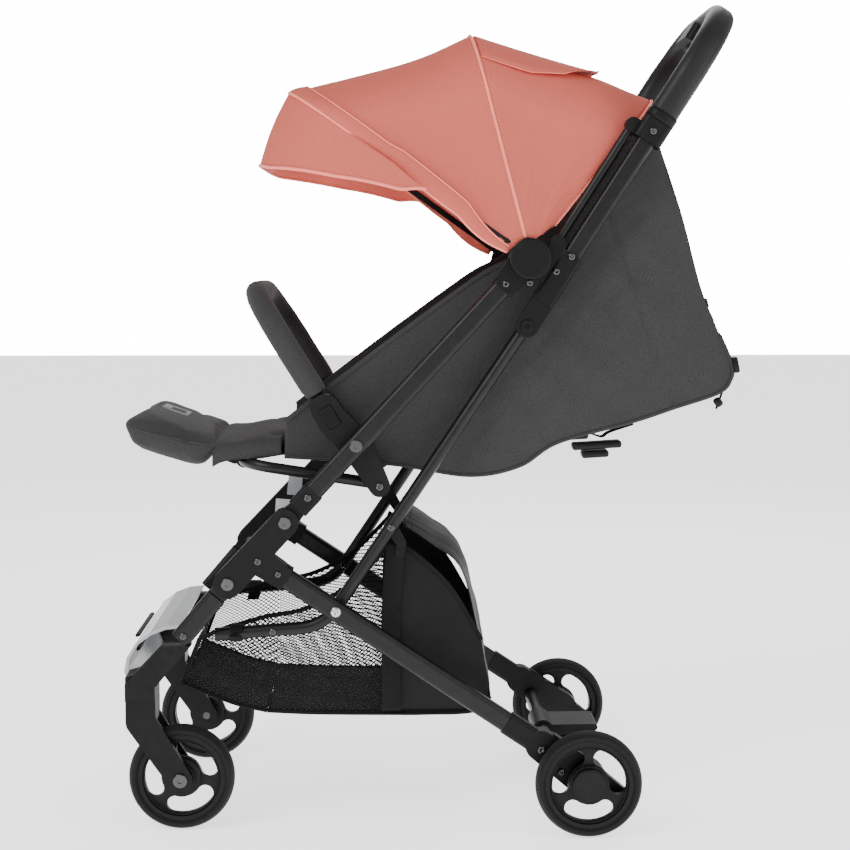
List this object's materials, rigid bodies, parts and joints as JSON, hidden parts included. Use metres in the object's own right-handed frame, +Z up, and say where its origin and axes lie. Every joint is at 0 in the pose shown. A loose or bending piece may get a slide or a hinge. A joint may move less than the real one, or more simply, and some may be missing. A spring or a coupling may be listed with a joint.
{
  "type": "baby stroller",
  "caption": "Compact folding baby stroller with reclining seat, footrest, bumper bar, hooded canopy, shopping basket, padded push handle and swivelling front wheels.",
  "frame": {"origin": "on the ground under the middle of the stroller's bounding box", "axes": "+Z up, the stroller faces -Y (child looks along -Y, the person pushing stands at +Y), +X is the child's left side"},
  "size_m": [0.454, 0.7737, 1.028],
  "materials": {
    "frame_black": "satin",
    "frame_plastic": "moulded satin",
    "steel": "zinc plated",
    "tyre": "foam rubber, fine grooves",
    "rim": "moulded satin",
    "grey_panel": "gloss",
    "foam_grip": "stitched wrap",
    "fabric_grey": "melange weave",
    "fabric_pink": "plain weave",
    "fabric_black": "coated weave",
    "mesh_black": "diamond mesh",
    "board": "sheet",
    "buckle": "moulded"
  },
  "bodies": {
    "base": {"y_bracket_left": "frame_plastic", "y_bracket_right": "frame_plastic", "rear_leg_left": "frame_black", "rear_leg_right": "frame_black", "rear_bracket_left": "frame_plastic", "rear_bracket_right": "frame_plastic", "rear_axle_bar": "frame_black", "frame_pins": "steel", "basket_tray": "fabric_black", "basket_fabric": "mesh_black"},
    "brake": {"brake_pedal": "frame_plastic"},
    "front_legs": {"front_leg_left": "frame_black", "front_leg_right": "frame_black", "caster_housings": "frame_plastic", "front_step": "grey_panel"},
    "front_tubes": {"front_tube_left": "frame_black", "front_tube_right": "frame_black", "front_tube_ends": "frame_plastic", "hub_housings": "frame_plastic", "upper_pins": "steel"},
    "rear_links": {"rear_link_left": "frame_black", "rear_link_right": "frame_black", "basket_hangers": "frame_plastic"},
    "handle": {"handle_tubes": "frame_black", "back_tubes": "frame_black", "handle_brackets": "frame_plastic", "handle_collars": "frame_plastic", "handle_grip": "foam_grip", "release_housing": "frame_plastic"},
    "release": {"release_button": "frame_plastic"},
    "canopy_mid": {"canopy_mid_bow": "frame_plastic", "canopy_rear": "fabric_pink", "hub_caps": "frame_plastic"},
    "canopy_front": {"canopy_front_bow": "frame_plastic", "canopy_front": "fabric_pink", "canopy_visor": "fabric_pink"},
    "seat_frame": {"seat_brackets": "frame_plastic", "seat_board": "board", "seat_cushion": "fabric_grey", "seat_shell": "fabric_grey", "harness_buckle": "buckle", "seat_tube": "frame_black"},
    "backrest": {"backrest": "fabric_grey"},
    "footrest": {"footrest_frame": "frame_plastic", "footrest_pad": "fabric_grey"},
    "bumper": {"bumper_bar": "fabric_grey"},
    "button_left": {"bumper_button_left": "frame_plastic"},
    "button_right": {"bumper_button_right": "frame_plastic"},
    "caster_left": {"fork_left": "frame_plastic", "front_axle_left": "steel"},
    "front_wheel_left": {"front_tyre_left": "tyre", "front_rim_left": "rim"},
    "rear_wheel_left": {"rear_tyre_left": "tyre", "rear_rim_left": "rim"},
    "caster_right": {"fork_right": "frame_plastic", "front_axle_right": "steel"},
    "front_wheel_right": {"front_tyre_right": "tyre", "front_rim_right": "rim"},
    "rear_wheel_right": {"rear_tyre_right": "tyre", "rear_rim_right": "rim"}
  },
  "joints": [
    {"name": "frame_fold", "type": "hinge", "parent": "base", "child": "front_tubes", "pos_m": [0, -0.173, 0.388], "axis": [-1, 0, 0], "range_deg": [0, 60], "deforming": ["seat_shell", "basket_fabric"]},
    {"name": "rear_link_fold", "type": "hinge", "parent": "base", "child": "rear_links", "pos_m": [0, -0.111, 0.2775], "axis": [-1, 0, 0], "range_deg": [0, 65]},
    {"name": "handle_fold", "type": "hinge", "parent": "front_tubes", "child": "handle", "pos_m": [0, 0.1255, 0.71], "axis": [1, 0, 0], "range_deg": [0, 105]},
    {"name": "canopy_carrier", "type": "hinge", "parent": "handle", "child": "canopy_mid", "pos_m": [0, 0.1255, 0.71], "axis": [1, 0, 0], "range_deg": [-45, 0], "deforming": ["canopy_rear"]},
    {"name": "seat_fold", "type": "hinge", "parent": "front_tubes", "child": "seat_frame", "pos_m": [0, -0.0855, 0.48238], "axis": [1, 0, 0], "range_deg": [0, 60]},
    {"name": "front_leg_fold", "type": "hinge", "parent": "base", "child": "front_legs", "pos_m": [0, -0.2435, 0.3125], "axis": [1, 0, 0], "range_deg": [0, 50]},
    {"name": "canopy_fold", "type": "hinge", "parent": "canopy_mid", "child": "canopy_front", "pos_m": [0, 0.1255, 0.71], "axis": [1, 0, 0], "range_deg": [-27, 0], "deforming": ["canopy_front"]},
    {"name": "recline", "type": "hinge", "parent": "seat_frame", "child": "backrest", "pos_m": [0, 0.064, 0.474], "axis": [-1, 0, 0], "range_deg": [-38, 0]},
    {"name": "footrest_tilt", "type": "hinge", "parent": "seat_frame", "child": "footrest", "pos_m": [0, -0.229, 0.457], "axis": [-1, 0, 0], "range_deg": [-55, 0]},
    {"name": "bumper_pull", "type": "slide", "parent": "seat_frame", "child": "bumper", "axis": [0, 0.53, -0.848], "range_m": [-0.04, 0]},
    {"name": "bumper_button_left", "type": "slide", "parent": "seat_frame", "child": "button_left", "axis": [1, 0, 0], "range_m": [-0.0024, 0], "stiffness_N_per_m": 400},
    {"name": "bumper_button_right", "type": "slide", "parent": "seat_frame", "child": "button_right", "axis": [-1, 0, 0], "range_m": [-0.0024, 0], "stiffness_N_per_m": 400},
    {"name": "release_button", "type": "slide", "parent": "handle", "child": "release", "axis": [0, -0.5402, -0.8415], "range_m": [-0.0035, 0], "stiffness_N_per_m": 600},
    {"name": "brake_pedal", "type": "hinge", "parent": "base", "child": "brake", "pos_m": [0, 0.158, 0.088], "axis": [1, 0, 0], "range_deg": [-18, 0]},
    {"name": "caster_swivel_left", "type": "hinge", "parent": "front_legs", "child": "caster_left", "pos_m": [0.166, -0.3525, 0.1665], "axis": [0, 0, 1], "continuous": true},
    {"name": "front_wheel_spin_left", "type": "hinge", "parent": "caster_left", "child": "front_wheel_left", "pos_m": [0.166, -0.3045, 0.066], "axis": [1, 0, 0], "continuous": true},
    {"name": "rear_wheel_spin_left", "type": "hinge", "parent": "base", "child": "rear_wheel_left", "pos_m": [0.21, 0.2, 0.066], "axis": [1, 0, 0], "continuous": true},
    {"name": "caster_swivel_right", "type": "hinge", "parent": "front_legs", "child": "caster_right", "pos_m": [-0.166, -0.3525, 0.1665], "axis": [0, 0, 1], "continuous": true},
    {"name": "front_wheel_spin_right", "type": "hinge", "parent": "caster_right", "child": "front_wheel_right", "pos_m": [-0.166, -0.3045, 0.066], "axis": [1, 0, 0], "continuous": true},
    {"name": "rear_wheel_spin_right", "type": "hinge", "parent": "base", "child": "rear_wheel_right", "pos_m": [-0.21, 0.2, 0.066], "axis": [1, 0, 0], "continuous": true}
  ],
  "couplings": [
    {"joint": "rear_link_fold", "follows": "frame_fold", "ratio": 1.07},
    {"joint": "handle_fold", "follows": "frame_fold", "ratio": 1.74},
    {"joint": "canopy_carrier", "follows": "frame_fold", "ratio": -0.74},
    {"joint": "seat_fold", "follows": "frame_fold", "ratio": 1},
    {"joint": "front_leg_fold", "follows": "frame_fold", "ratio": 0.833}
  ]
}
